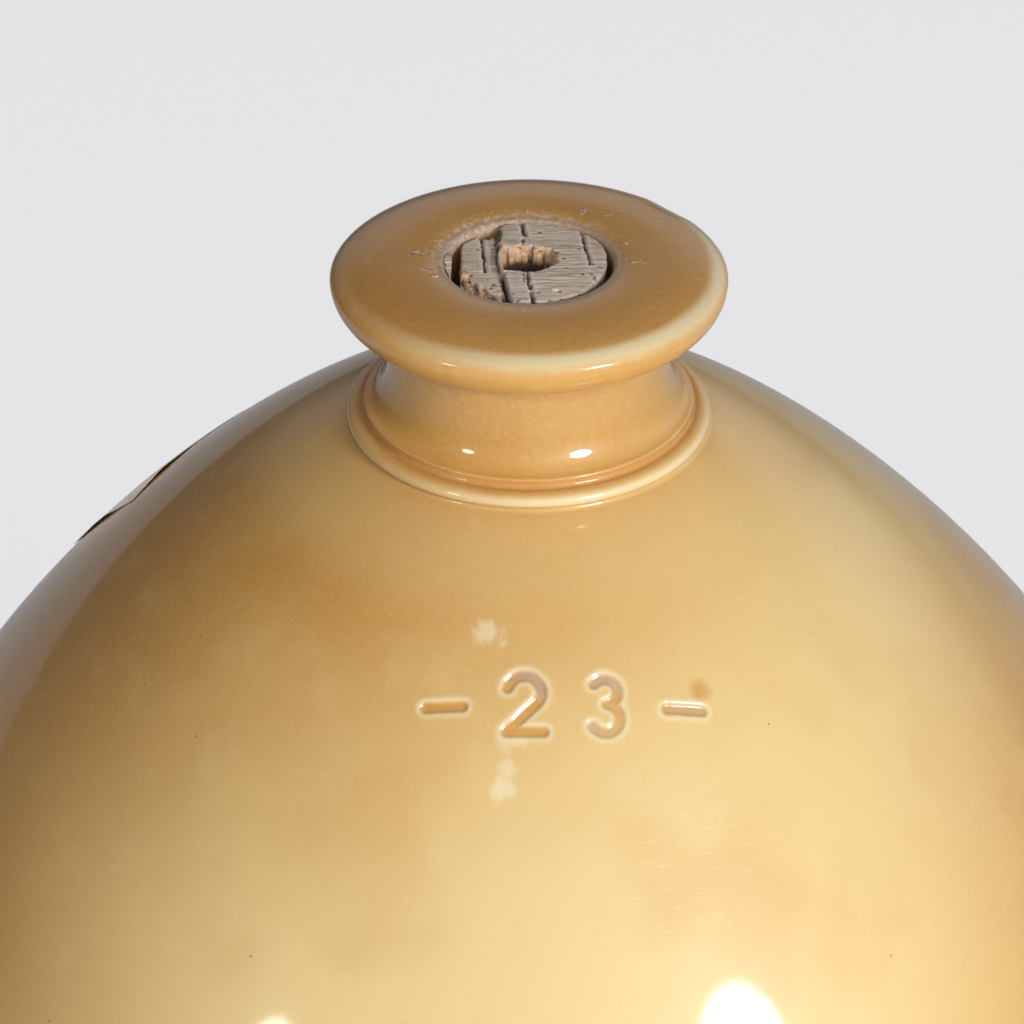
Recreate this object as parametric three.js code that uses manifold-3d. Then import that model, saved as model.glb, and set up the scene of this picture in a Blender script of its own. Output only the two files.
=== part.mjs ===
// A narrow-necked stoneware jar of about five gallons with a cork bung in its mouth.
// Millimetres, +Z up. The jar stands on its foot at the origin, and its front faces -Y.
import * as THREE from "three";
import { mergeVertices } from "three/addons/utils/BufferGeometryUtils.js";
import Module from "manifold-3d";

const wasm = await Module();
wasm.setup();

// Jar: the body. A drop is measured down from the flat top of the lip.
const HEIGHT = 470;
const BODY_RADIUS = 150;
const WALL = 9;
const BASE = 12;
const FOOT_ROUND = 6;
const HEEL_ROUND = 16;
const WALL_TOP_DROP = 176;

// Jar: the shoulder is one curve from the collar's foot to the top of the straight wall.
const SHOULDER_RADIUS = 38;
const SHOULDER_DROP = 36.8;
const SHOULDER_SLOPE = 22.3;
const SHOULDER_LEAD = 42.7;
const WALL_LEAD = 47.8;

// Jar: the collar is a bead round the foot of the neck, with a groove between them.
const COLLAR_RADIUS = 37.4;
const COLLAR_DROP = 35;
const COLLAR_WIDTH = 2.4;
const COLLAR_RISE = 1.7;
const COLLAR_FROM = 115;
const COLLAR_TO = -60;
const NECK_FOOT_RADIUS = 33.7;
const NECK_FOOT_DROP = 31.3;
const NECK_FOOT_EDGE = 0.8;

// Jar: the neck and the rolled lip.
const NECK_RADIUS = 28.5;
const NECK_FLARE_DROP = 20;
const LIP_RADIUS = 40;
const LIP_EDGE_DROP = 4;
const LIP_DEPTH = 12.6;
const LIP_TOP_ROUND = 8.7;

// Jar: the bore narrows evenly from the mouth to the throat.
const MOUTH_ROUND = 1.3;
const BORE_RADIUS = 16.9;
const BORE_FOOT_RADIUS = 15.9;
const BORE_LENGTH = 42;
const THROAT_ROUND = 5;

// Cork bung: a taper that follows the bore, with its left flank broken off and a torn pit.
const BUNG_CLEARANCE = 0.3;
const BUNG_RECESS = 0.5;
const BUNG_LENGTH = 34;
const BUNG_EDGE = 0.8;
const FLANK_FACE = 13.8;
const STEP_FACE = 6.2;
const STEP_TURN = 5.5;
const STEP_HEIGHT = 1.4;
const PIT_WIDTH = 12.2;
const PIT_BREADTH = 11.2;
const PIT_FLOOR = 6.8;
const PIT_DEPTH = 12;
const PIT_X = 0.3;
const PIT_Y = 1.3;

// Cork sliver: a flake of the broken flank that still sticks to the wall of the bore.
const SLIVER_CLEARANCE = 0.3;
const SLIVER_THICKNESS = 1.1;
const SLIVER_RECESS = 0.6;
const SLIVER_HEIGHT = 11;
const SLIVER_LEAN = 5;

// Paper label: stuck on the back-left of the shoulder, not quite level.
const LABEL_WIDTH = 50;
const LABEL_HEIGHT = 36;
const LABEL_THICKNESS = 0.3;
const LABEL_GAP = 0.3;
const LABEL_AZIMUTH = 145;
const LABEL_DISTANCE = 75.5;
const LABEL_TILT = -11;

// Facets: steps round the axis and along each rounded stretch of a profile.
const TURN_STEPS = 48;
const BORE_STEPS = 40;
const SHOULDER_STEPS = 11;
const ROUND_STEPS = 5;
const EDGE_STEPS = 3;

const rad = THREE.MathUtils.degToRad;
const at = (radius, height) => new THREE.Vector2(radius, height);
const below = (drop) => HEIGHT - drop;

const glaze = new THREE.MeshStandardMaterial({ color: 0xc9974f, roughness: 0.22, metalness: 0 });
const cork = new THREE.MeshStandardMaterial({ color: 0x96877a, roughness: 0.95, metalness: 0 });
const paper = new THREE.MeshStandardMaterial({ color: 0xe6e2dc, roughness: 0.8, metalness: 0 });

// Points of an elliptical arc in a profile, angles in degrees from the radius outwards.
function arc(radius, height, across, rise, from, to, steps) {
  return Array.from({ length: steps + 1 }, (_, i) => {
    const angle = rad(from + ((to - from) * i) / steps);
    return at(radius + across * Math.cos(angle), height + rise * Math.sin(angle));
  });
}

// A profile turned round the Z axis. It starts and ends on the axis, or closes on itself.
function turned(points, steps) {
  return new THREE.LatheGeometry(points, steps).rotateX(Math.PI / 2);
}

// A closed geometry as a solid for cutting, and a solid back as a geometry.
function solidOf(geometry) {
  const bare = geometry.clone();
  bare.deleteAttribute("normal");
  bare.deleteAttribute("uv");
  const merged = mergeVertices(bare, 1e-4);
  return new wasm.Manifold(
    new wasm.Mesh({
      numProp: 3,
      vertProperties: merged.attributes.position.array,
      triVerts: new Uint32Array(merged.index.array),
    }),
  );
}

function geometryOf(solid) {
  const { vertProperties, triVerts } = solid.getMesh();
  const geometry = new THREE.BufferGeometry();
  geometry.setAttribute("position", new THREE.BufferAttribute(vertProperties, 3));
  geometry.setIndex(new THREE.BufferAttribute(triVerts, 1));
  geometry.computeVertexNormals();
  return geometry;
}

function piece(name, geometry, material) {
  const mesh = new THREE.Mesh(geometry, material);
  mesh.name = name;
  return mesh;
}

// The shoulder runs from the collar's foot, sloping down, to the wall, which it meets upright.
const shoulder = new THREE.CubicBezierCurve(
  at(SHOULDER_RADIUS, below(SHOULDER_DROP)),
  at(
    SHOULDER_RADIUS + SHOULDER_LEAD * Math.cos(rad(SHOULDER_SLOPE)),
    below(SHOULDER_DROP) - SHOULDER_LEAD * Math.sin(rad(SHOULDER_SLOPE)),
  ),
  at(BODY_RADIUS, below(WALL_TOP_DROP) + WALL_LEAD),
  at(BODY_RADIUS, below(WALL_TOP_DROP)),
);

// The shoulder's points moved out along its normal, or in where the offset is negative.
function shoulderPoints(offset) {
  return Array.from({ length: SHOULDER_STEPS + 1 }, (_, i) => {
    const share = i / SHOULDER_STEPS;
    const along = shoulder.getTangentAt(share);
    return shoulder.getPointAt(share).add(at(-along.y, along.x).multiplyScalar(offset));
  });
}

const boreRadius = (drop) => BORE_RADIUS - ((BORE_RADIUS - BORE_FOOT_RADIUS) * drop) / BORE_LENGTH;

function stonewareJar() {
  const outside = [
    at(0, 0),
    ...arc(BODY_RADIUS - FOOT_ROUND, FOOT_ROUND, FOOT_ROUND, FOOT_ROUND, -90, 0, EDGE_STEPS),
    ...shoulderPoints(0).reverse(),
    ...arc(
      COLLAR_RADIUS - COLLAR_WIDTH,
      below(COLLAR_DROP),
      COLLAR_WIDTH,
      COLLAR_RISE,
      COLLAR_TO,
      COLLAR_FROM,
      ROUND_STEPS + 1,
    ),
    at(NECK_FOOT_RADIUS, below(NECK_FOOT_DROP + NECK_FOOT_EDGE)),
    ...arc(
      NECK_FOOT_RADIUS,
      below(NECK_FLARE_DROP),
      NECK_FOOT_RADIUS - NECK_RADIUS,
      NECK_FOOT_DROP - NECK_FLARE_DROP,
      -90,
      -180,
      ROUND_STEPS,
    ),
    ...arc(
      NECK_RADIUS,
      below(LIP_EDGE_DROP),
      LIP_RADIUS - NECK_RADIUS,
      LIP_DEPTH - LIP_EDGE_DROP,
      -90,
      0,
      ROUND_STEPS + 1,
    ),
    ...arc(
      LIP_RADIUS - LIP_TOP_ROUND,
      below(LIP_EDGE_DROP),
      LIP_TOP_ROUND,
      LIP_EDGE_DROP,
      0,
      90,
      ROUND_STEPS,
    ).slice(1),
  ];
  const mouth = BORE_RADIUS + MOUTH_ROUND;
  const throat = BORE_FOOT_RADIUS + THROAT_ROUND;
  const inside = [
    ...arc(mouth, below(MOUTH_ROUND), MOUTH_ROUND, MOUTH_ROUND, 90, 180, EDGE_STEPS),
    ...arc(throat, below(BORE_LENGTH - THROAT_ROUND), THROAT_ROUND, THROAT_ROUND, 180, 270, EDGE_STEPS),
    ...shoulderPoints(-WALL),
    ...arc(BODY_RADIUS - WALL - HEEL_ROUND, BASE + HEEL_ROUND, HEEL_ROUND, HEEL_ROUND, 0, -90, EDGE_STEPS),
    at(0, BASE),
  ];
  return turned([...outside, ...inside], TURN_STEPS);
}

// A round taper that follows the bore between two drops, clear of its wall.
function boreTaper(top, bottom, clearance, edge) {
  const profile = [
    at(0, below(bottom)),
    at(boreRadius(bottom) - clearance, below(bottom)),
    at(boreRadius(top + edge) - clearance, below(top + edge)),
    at(boreRadius(top) - clearance - edge, below(top)),
    at(0, below(top)),
  ];
  return solidOf(turned(profile, BORE_STEPS));
}

// A block larger than the bung, with its right face in the middle of the bore.
const BLOCK = 4 * (BORE_RADIUS + BUNG_LENGTH);
function leftBlock() {
  return new THREE.BoxGeometry(BLOCK, BLOCK, BLOCK).translate(-BLOCK / 2, 0, 0);
}

function corkBung() {
  const bottom = BUNG_RECESS + BUNG_LENGTH;
  const top = below(BUNG_RECESS);
  const pitProfile = [
    at(0, -PIT_DEPTH),
    at(PIT_FLOOR / 2, -PIT_DEPTH),
    at(PIT_WIDTH / 2, 0),
    at(PIT_WIDTH / 2, PIT_DEPTH),
    at(0, PIT_DEPTH),
  ];
  const pit = turned(pitProfile, BORE_STEPS / 2);
  pit.scale(1, PIT_BREADTH / PIT_WIDTH, 1);
  pit.translate(PIT_X, PIT_Y, top);
  const flank = leftBlock().translate(-FLANK_FACE, 0, top);
  const step = leftBlock().translate(-STEP_FACE, 0, top - STEP_HEIGHT + BLOCK / 2);
  step.rotateZ(rad(STEP_TURN));
  return geometryOf(
    boreTaper(BUNG_RECESS, bottom, BUNG_CLEARANCE, BUNG_EDGE)
      .subtract(solidOf(flank))
      .subtract(solidOf(step))
      .subtract(solidOf(pit)),
  );
}

function corkSliver() {
  const bottom = SLIVER_RECESS + SLIVER_HEIGHT;
  const face = boreRadius(SLIVER_RECESS) - SLIVER_CLEARANCE - SLIVER_THICKNESS;
  const keep = leftBlock().rotateY(rad(SLIVER_LEAN)).translate(-face, 0, below(SLIVER_RECESS));
  return geometryOf(boreTaper(SLIVER_RECESS, bottom, SLIVER_CLEARANCE, 0).intersect(solidOf(keep)));
}

function paperLabel() {
  const inner = shoulderPoints(LABEL_GAP);
  const outer = shoulderPoints(LABEL_GAP + LABEL_THICKNESS).reverse();
  const skin = turned([...outer, ...inner, outer[0]], TURN_STEPS);
  const share = LABEL_DISTANCE / shoulder.getLength();
  const place = shoulder.getPointAt(share);
  const along = shoulder.getTangentAt(share);
  const cutter = new THREE.BoxGeometry(LABEL_HEIGHT, LABEL_WIDTH, LABEL_WIDTH);
  cutter.rotateZ(rad(LABEL_TILT));
  cutter.rotateY(Math.atan2(-along.y, along.x));
  cutter.translate(place.x, 0, place.y);
  cutter.rotateZ(rad(LABEL_AZIMUTH));
  return geometryOf(solidOf(skin).intersect(solidOf(cutter)));
}

const jar = new THREE.Group();
jar.add(
  piece("stoneware_jar", stonewareJar(), glaze),
  piece("cork_bung", corkBung(), cork),
  piece("cork_sliver", corkSliver(), cork),
  piece("paper_label", paperLabel(), paper),
);

export default jar;
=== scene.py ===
# %% [markdown]
# # A stoneware jar with a cork bung
#
# This lesson dresses a imported CAD model of an old stoneware jar that holds about 23 litres: honey
# glaze over fired clay, a dry cork in the mouth, a flake of that cork left behind in the bore, and a
# paper label that lifts behind one corner. The CAD model is loaded first, and it stays as the frame.
# Each of its four solids is then replaced by a finer piece in the same place, in metres.

# %% Load the frame
import math

import bpy
import numpy as np
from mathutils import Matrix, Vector, noise


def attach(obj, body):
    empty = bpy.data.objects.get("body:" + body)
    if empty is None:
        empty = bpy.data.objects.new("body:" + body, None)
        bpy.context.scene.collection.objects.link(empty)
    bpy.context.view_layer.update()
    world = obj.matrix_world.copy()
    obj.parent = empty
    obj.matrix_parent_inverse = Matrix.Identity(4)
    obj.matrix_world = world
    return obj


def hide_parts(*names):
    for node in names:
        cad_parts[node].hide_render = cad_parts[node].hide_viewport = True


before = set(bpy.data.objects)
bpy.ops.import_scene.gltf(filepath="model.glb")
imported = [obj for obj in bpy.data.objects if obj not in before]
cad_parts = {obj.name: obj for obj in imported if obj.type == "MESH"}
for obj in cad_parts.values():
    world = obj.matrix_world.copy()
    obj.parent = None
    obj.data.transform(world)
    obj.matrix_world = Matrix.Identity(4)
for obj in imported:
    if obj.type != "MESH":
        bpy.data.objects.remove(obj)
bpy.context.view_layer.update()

# %% [markdown]
# ## The camera
#
# The photograph looks down on the mouth of the jar from close by, at about 33 degrees. A long lens
# and that pitch were worked out from the two ellipses of the lip and the line of the shoulder, so the
# camera is set from numbers and not by eye. The small turn moves the jar's axis to the right of the
# middle of the picture, where it is in the photograph.

# %% Camera
MM = 0.001
HEIGHT = 470.0
CAMERA_PITCH = 32.738
CAMERA_TURN = 0.3266
CAMERA_FORWARD = 0.597935
CAMERA_ABOVE_LIP = 0.323842
SENSOR_WIDTH = 36.0
FOCAL_LENGTH = 119.05

lens = bpy.data.cameras.new("photo_camera")
lens.sensor_width = SENSOR_WIDTH
lens.lens = FOCAL_LENGTH
camera = bpy.data.objects.new("photo_camera", lens)
bpy.context.collection.objects.link(camera)
camera.location = (0.0, -CAMERA_FORWARD, HEIGHT * MM + CAMERA_ABOVE_LIP)
camera.rotation_euler = (math.radians(90.0 - CAMERA_PITCH), 0.0, math.radians(CAMERA_TURN))
scene = bpy.context.scene
scene.camera = camera
scene.view_settings.view_transform = "Standard"
print("camera at", tuple(camera.location))

# %% [markdown]
# ## Shader sums
#
# A procedural material is mostly arithmetic on masks. Wiring that by hand takes a screen full of Math
# nodes, so one small class wraps a node's output and lets Python's own signs add those nodes. Any
# other node comes from its node() method.


# %% A shader output that can be used in sums
class Wire:
    """One output of a shader node."""

    def __init__(self, tree, output=None):
        self.tree = tree
        self.output = output

    def node(self, kind, settings=None, values=None, output=0):
        """Adds a node, applies its settings, fills its sockets and returns one of its outputs."""
        made = self.tree.nodes.new("ShaderNode" + kind)
        for name, value in (settings or {}).items():
            setattr(made, name, value)
        for socket, value in (values or {}).items():
            if isinstance(value, Wire):
                self.tree.links.new(value.output, made.inputs[socket])
            else:
                made.inputs[socket].default_value = value
        return Wire(self.tree, made.outputs[output])

    def math(self, operation, first, second=0.0):
        return self.node("Math", {"operation": operation}, {0: first, 1: second})

    def __add__(self, other):
        return self.math("ADD", self, other)

    def __sub__(self, other):
        return self.math("SUBTRACT", self, other)

    def __rsub__(self, other):
        return self.math("SUBTRACT", other, self)

    def __mul__(self, other):
        return self.math("MULTIPLY", self, other)

    def __truediv__(self, other):
        return self.math("DIVIDE", self, other)

    def __pow__(self, other):
        return self.math("POWER", self, other)

    __radd__ = __add__
    __rmul__ = __mul__

    def fade(self, start, end):
        """A mask that is 0 at start and 1 at end, with soft ends."""
        settings = {"interpolation_type": "SMOOTHSTEP"}
        return self.node("MapRange", settings, {0: self, 1: start, 2: end})

    def mix(self, first, second):
        """The first colour where this mask is 0, and the second where it is 1."""
        return self.node("Mix", {"data_type": "RGBA"}, {0: self, 6: first, 7: second}, 2)

    def noise(self, scale, detail=2.0, roughness=0.5):
        """Cloudy noise from 0 to 1 over this vector."""
        values = {"Vector": self, "Scale": scale, "Detail": detail, "Roughness": roughness}
        return self.node("TexNoise", None, values)

    def cells(self, scale, output):
        """Cells over this vector: the distance to the middle, or a chance colour for each."""
        return self.node("TexVoronoi", None, {"Vector": self, "Scale": scale}, output)

    def times(self, factors):
        """This vector with each axis stretched by its own factor."""
        return self.node("VectorMath", {"operation": "MULTIPLY"}, {0: self, 1: factors})

    def along(self, direction):
        """How far this vector goes in a direction."""
        return self.node("VectorMath", {"operation": "DOT_PRODUCT"}, {0: self, 1: direction}, 1)

    def away(self, point):
        """How far this vector's point is from another."""
        return self.node("VectorMath", {"operation": "DISTANCE"}, {0: self, 1: point}, 1)


def rgb(red, green, blue):
    """A colour as a paint program shows it, from 0 to 255, turned into the shader's linear values."""
    parts = [c / 255.0 for c in (red, green, blue)]
    return [c / 12.92 if c <= 0.04045 else ((c + 0.055) / 1.055) ** 2.4 for c in parts] + [1.0]


def material(name):
    """A new material: its Wire, its shader and its Object coordinates in millimetres."""
    made = bpy.data.materials.new(name)
    made.use_nodes = True
    wire = Wire(made.node_tree)
    shader = made.node_tree.nodes["Principled BSDF"]
    place = wire.node("TexCoord", None, None, 3).times((1000.0, 1000.0, 1000.0))
    return made, wire, shader, place


def painted(wire, name):
    """The number that a mesh stores for each vertex under a name."""
    return wire.node("Attribute", {"attribute_name": name}, None, 2)


def bumped(wire, height):
    """A surface normal from a height in millimetres."""
    return wire.node("Bump", None, {"Strength": 1.0, "Distance": MM, "Height": height})


def connect(wire, shader, links):
    """Links varying values to the sockets of a shader."""
    for socket, value in links.items():
        wire.tree.links.new(value.output, shader.inputs[socket])


# %% [markdown]
# ## The studio
#
# The jar stands on a plain pale floor. Soft boxes light it from the right, from the left and, broad
# and soft, from behind the camera, all less than 30 degrees up: the first two follow from where the
# highlights lie on the neck and shoulder. The third only fills the shadows, so the glaze doesn't
# mirror it. The world is a dim grey room, paler on the right and behind, because the glaze mirrors it
# along its flanks.

# %% Floor
GLOW_SEEN = 0.85
GLOW_MIRRORED = 0.22

bpy.ops.object.select_all(action="DESELECT")
bpy.ops.mesh.primitive_plane_add(size=9.0, location=(0.0, 0.0, 0.0))
floor = bpy.context.object
floor.name = "studio_floor"

floor_paint, wire, shader, place = material("studio_floor")
shader.inputs["Roughness"].default_value = 0.9
shader.inputs["Base Color"].default_value = rgb(226, 225, 228)
glow = wire.node("Emission", None, {"Color": rgb(241, 240, 243), "Strength": 1.0})
path = wire.node("LightPath").output.node
seen = Wire(wire.tree, path.outputs["Is Camera Ray"]) * GLOW_SEEN
seen += Wire(wire.tree, path.outputs["Is Glossy Ray"]) * GLOW_MIRRORED
both = wire.node("MixShader", None, {0: seen, 1: Wire(wire.tree, shader.outputs[0]), 2: glow})
connect(wire, wire.tree.nodes["Material Output"], {"Surface": both})
floor.data.materials.append(floor_paint)
print("floor", tuple(floor.dimensions))

# %% Soft boxes
SHOULDER_POINT = Vector((0.0, -0.090, 0.385))


def soft_box(name, azimuth, elevation, distance, size, level, mirrored=True):
    """A round lamp that faces the shoulder. A white card there, square to it, has that level."""
    lamp = bpy.data.lights.new(name, "AREA")
    lamp.shape = "DISK"
    lamp.size = size
    lamp.energy = level * (math.pi * distance) ** 2
    made = bpy.data.objects.new(name, lamp)
    bpy.context.collection.objects.link(made)
    turn = math.radians(azimuth)
    rise = math.radians(elevation)
    flat = math.cos(rise)
    way = Vector((math.sin(turn) * flat, -math.cos(turn) * flat, math.sin(rise)))
    made.location = SHOULDER_POINT + way * distance
    made.rotation_euler = way.to_track_quat("Z", "Y").to_euler()
    made.visible_glossy = mirrored
    print(name, "at", tuple(round(c, 3) for c in made.location))


soft_box("soft_box_right", azimuth=41.0, elevation=24.6, distance=1.5, size=0.42, level=0.63)
soft_box("soft_box_left", azimuth=-47.5, elevation=22.6, distance=1.5, size=0.22, level=0.11)
soft_box("soft_box_front", azimuth=9.0, elevation=28.0, distance=1.9, size=1.6, level=0.53, mirrored=False)

# %% World
world = bpy.data.worlds.new("studio_room")
world.use_nodes = True
scene.world = world
wire = Wire(world.node_tree)
way = wire.node("TexCoord", None, None, 0)
up = way.along((0.0, 0.0, 1.0))
side = way.along((1.0, 0.0, 0.0)).fade(-0.9, 0.9)
back = way.along((0.6, 0.8, 0.0)).fade(0.1, 0.9) * up.fade(-0.05, 0.25)
room = side.mix(rgb(72, 70, 69), rgb(120, 118, 117))
room = back.mix(room, rgb(208, 207, 209))
room = (up.fade(0.38, 0.52) * 0.9).mix(room, rgb(56, 54, 52))
room = up.fade(0.8, 0.95).mix(room, rgb(120, 118, 116))
seen = wire.node("LightPath", None, None, 0).mix(room, rgb(231, 230, 233))
back_node = world.node_tree.nodes["Background"]
connect(wire, back_node, {"Color": seen})
back_node.inputs["Strength"].default_value = 0.85
print("world", world.name)

# %% [markdown]
# ## Working by hand in Edit Mode
#
# A pot grows on a wheel, and a cork is cut round too, so both start as a profile that is spun. One
# helper walks a single vertex along the profile with Extrude and turns the line with Spin. Others
# read and write the vertices as one table in millimetres, for the marks that time has left.


# %% Helpers for modelling
def only(obj):
    """Selects one object and makes it the active one."""
    bpy.ops.object.select_all(action="DESELECT")
    obj.select_set(True)
    bpy.context.view_layer.objects.active = obj


def spun(name, profile, steps):
    """A profile of (radius, height) points in millimetres, spun round the Z axis."""
    bpy.ops.object.select_all(action="DESELECT")
    bpy.ops.mesh.primitive_plane_add(size=MM)
    obj = bpy.context.object
    obj.name = name
    bpy.ops.object.mode_set(mode="EDIT")
    bpy.ops.mesh.select_mode(type="VERT")
    bpy.ops.mesh.merge(type="CENTER")
    bpy.ops.transform.translate(value=(profile[0][0] * MM, 0.0, profile[0][1] * MM))
    here = profile[0]
    for point in profile[1:]:
        step = ((point[0] - here[0]) * MM, 0.0, (point[1] - here[1]) * MM)
        bpy.ops.mesh.extrude_region_move(TRANSFORM_OT_translate={"value": step})
        here = point
    bpy.ops.mesh.select_all(action="SELECT")
    bpy.ops.mesh.spin(steps=steps, angle=math.tau, center=(0, 0, 0), axis=(0, 0, 1))
    bpy.ops.mesh.select_all(action="SELECT")
    bpy.ops.mesh.remove_doubles(threshold=1e-6)
    bpy.ops.mesh.normals_make_consistent(inside=False)
    bpy.ops.object.mode_set(mode="OBJECT")
    bpy.ops.object.shade_smooth()
    return obj


def face_outwards(obj):
    """Turns every face of a mesh outwards, after its vertices have moved."""
    only(obj)
    bpy.ops.object.mode_set(mode="EDIT")
    bpy.ops.mesh.select_all(action="SELECT")
    bpy.ops.mesh.normals_make_consistent(inside=False)
    bpy.ops.object.mode_set(mode="OBJECT")


def points(obj):
    """The vertices of a mesh, in millimetres, one row each."""
    flat = np.empty(len(obj.data.vertices) * 3, dtype=np.float32)
    obj.data.vertices.foreach_get("co", flat)
    return flat.reshape(-1, 3).astype(float) / MM


def place_points(obj, table):
    """Writes the vertices back, in millimetres."""
    obj.data.vertices.foreach_set("co", (table * MM).astype(np.float32).ravel())
    obj.data.update()


def paint(obj, name, values):
    """Stores one number for each vertex, for the material to read."""
    layer = obj.data.attributes.new(name, "FLOAT", "POINT")
    layer.data.foreach_set("value", np.asarray(values, dtype=np.float32))


def ripple(table, scale):
    """Smooth noise from -1 to 1 at each row of a table, with one scale for each axis."""
    return np.array([noise.noise(Vector(row)) for row in table * np.asarray(scale)])


def smooth(values, start, end):
    """0 at start and 1 at end, with soft ends."""
    share = np.clip((values - start) / (end - start), 0.0, 1.0)
    return share * share * (3.0 - 2.0 * share)


def reach(path, x, y):
    """The distance of each point (x, y) from a line of points."""
    best = np.full(len(x), np.inf)
    for (ax, ay), (bx, by) in zip(path, path[1:]):
        dx, dy = bx - ax, by - ay
        share = np.clip(((x - ax) * dx + (y - ay) * dy) / (dx * dx + dy * dy), 0.0, 1.0)
        best = np.minimum(best, np.hypot(x - ax - share * dx, y - ay - share * dy))
    return best


def bow(middle_r, middle_z, across, rise, start, end, steps):
    """Points of an elliptical arc in a profile, from one angle to another, in degrees."""
    turns = [math.radians(start + (end - start) * i / steps) for i in range(steps + 1)]
    return [(middle_r + across * math.cos(a), middle_z + rise * math.sin(a)) for a in turns]


# %% [markdown]
# ## The jar
#
# A jar of this size is thrown in two parts, joined at the shoulder, and the neck is thrown on last:
# the beaded collar covers that joint. The profile repeats the CAD model's sizes with more points. The
# mouth is eased into the bore as the potter's finger leaves it, and the top of the lip is slightly
# domed.

# %% Jar: the profile
BODY_RADIUS = 150.0
WALL = 9.0
WALL_TOP = HEIGHT - 176.0
FOOT_ROUND = 6.0
SHOULDER_TOP = (38.0, HEIGHT - 36.8)
SHOULDER_SLOPE = math.radians(22.3)
SHOULDER_LEAD = 42.7
WALL_LEAD = 47.8
MOUTH_RADIUS = 16.9
MOUTH_ROUND = 1.3
THROAT_RADIUS = 15.9
THROAT_ROUND = 5.0
BORE_LENGTH = 42.0
NECK_RADIUS = 28.5
LIP_RADIUS = 40.0
LIP_EDGE = HEIGHT - 4.0
LIP_DOME_START = 26.0
COLLAR_RADIUS = 35.0
FLOOR_LEVEL = 12.0
FLOOR_ROUND = 16.0


def shoulder(steps):
    """Points and outward normals of the shoulder, from the collar down to the wall."""
    run = SHOULDER_LEAD * math.cos(SHOULDER_SLOPE), SHOULDER_LEAD * math.sin(SHOULDER_SLOPE)
    a = np.array(SHOULDER_TOP)
    b = a + (run[0], -run[1])
    c = np.array((BODY_RADIUS, WALL_TOP + WALL_LEAD))
    d = np.array((BODY_RADIUS, WALL_TOP))
    t = np.linspace(0.0, 1.0, steps + 1)[:, None]
    line = (1 - t) ** 3 * a + 3 * (1 - t) ** 2 * t * b + 3 * (1 - t) * t * t * c + t**3 * d
    slope = 3 * (1 - t) ** 2 * (b - a) + 6 * (1 - t) * t * (c - b) + 3 * t * t * (d - c)
    slope /= np.linalg.norm(slope, axis=1)[:, None]
    return line, np.stack([-slope[:, 1], slope[:, 0]], axis=1)


OUTER, NORMALS = shoulder(84)
INNER, INWARD = shoulder(40)
profile = [(0.0, 0.0), (60.0, 0.0), (110.0, 0.0)]
profile += bow(BODY_RADIUS - FOOT_ROUND, FOOT_ROUND, FOOT_ROUND, FOOT_ROUND, -90, 0, 6)
profile += [(BODY_RADIUS, z) for z in np.linspace(FOOT_ROUND, WALL_TOP, 60)[1:-1]]
profile += [tuple(p) for p in OUTER[::-1]]
profile += bow(COLLAR_RADIUS, HEIGHT - 35.0, 2.4, 1.7, -60, 115, 14)
profile += [(33.75, HEIGHT - 32.5), (33.75, HEIGHT - 32.0), (33.9, HEIGHT - 31.7)]
profile += bow(NECK_RADIUS + 5.2, HEIGHT - 20.0, 5.2, 11.3, -90, -180, 18)
profile += [(NECK_RADIUS, HEIGHT - d) for d in (18.2, 16.4, 14.5)]
profile += bow(NECK_RADIUS, LIP_EDGE, LIP_RADIUS - NECK_RADIUS, 8.6, -90, 0, 22)
profile += bow(LIP_DOME_START, LIP_EDGE, LIP_RADIUS - LIP_DOME_START, 4.0, 0, 90, 24)[1:]
profile += [(r, HEIGHT - d) for r, d in ((24.0, 0.02), (22.0, 0.07), (20.0, 0.20), (19.2, 0.36))]
profile += bow(MOUTH_RADIUS + MOUTH_ROUND, HEIGHT - 1.95, MOUTH_ROUND, MOUTH_ROUND, 80, 180, 10)
profile += [
    (MOUTH_RADIUS + (THROAT_RADIUS - MOUTH_RADIUS) * d / BORE_LENGTH, HEIGHT - d)
    for d in (8.0, 14.0, 20.0, 26.0, 32.0)
]
throat = (THROAT_RADIUS + THROAT_ROUND, HEIGHT - BORE_LENGTH + THROAT_ROUND)
profile += bow(*throat, THROAT_ROUND, THROAT_ROUND, 180, 270, 6)
profile += [tuple(p) for p in INNER - INWARD * WALL]
profile += [(BODY_RADIUS - WALL, z) for z in (240.0, 190.0, 140.0, 90.0, 50.0)]
corner = (BODY_RADIUS - WALL - FLOOR_ROUND, FLOOR_LEVEL + FLOOR_ROUND)
profile += bow(*corner, FLOOR_ROUND, FLOOR_ROUND, 0, -90, 8)
profile += [(60.0, FLOOR_LEVEL), (0.0, FLOOR_LEVEL)]

jar = spun("glazed_stoneware_jar", profile, 192)
print("jar profile", len(profile), "points,", len(jar.data.polygons), "faces")

# %% [markdown]
# The wheel leaves faint rings in the wall, and the hand leaves the pot a hair out of round. Both are
# tiny and always inwards, so that the jar keeps its size. One stretch of the lip's back edge on the
# right has been knocked flat, and that is a shallow dent in the vertices there.

# %% Jar: throwing rings, a little wobble and the knocked edge of the lip
RING_DEPTH = 0.11
KNOCK_AZIMUTH = 41.0
KNOCK_DROP = 0.22
KNOCK_SHARE = 0.006
table = points(jar)
radius = np.hypot(table[:, 0], table[:, 1])
angle = np.arctan2(table[:, 1], table[:, 0])
outside = radius > np.interp(table[:, 2], [0, WALL_TOP, HEIGHT], [140, 140, 0])

around = np.column_stack([np.cos(angle) * 0.25, np.sin(angle) * 0.25, table[:, 2] * 0.11])
rings = RING_DEPTH * (1.0 + ripple(around, (1, 1, 1))) * outside * smooth(table[:, 2], 14.0, 40.0)
rings *= 1.0 - smooth(table[:, 2], WALL_TOP - 20.0, WALL_TOP + 40.0)
table[:, :2] *= ((radius - rings) / np.maximum(radius, 1e-6))[:, None]

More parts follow.
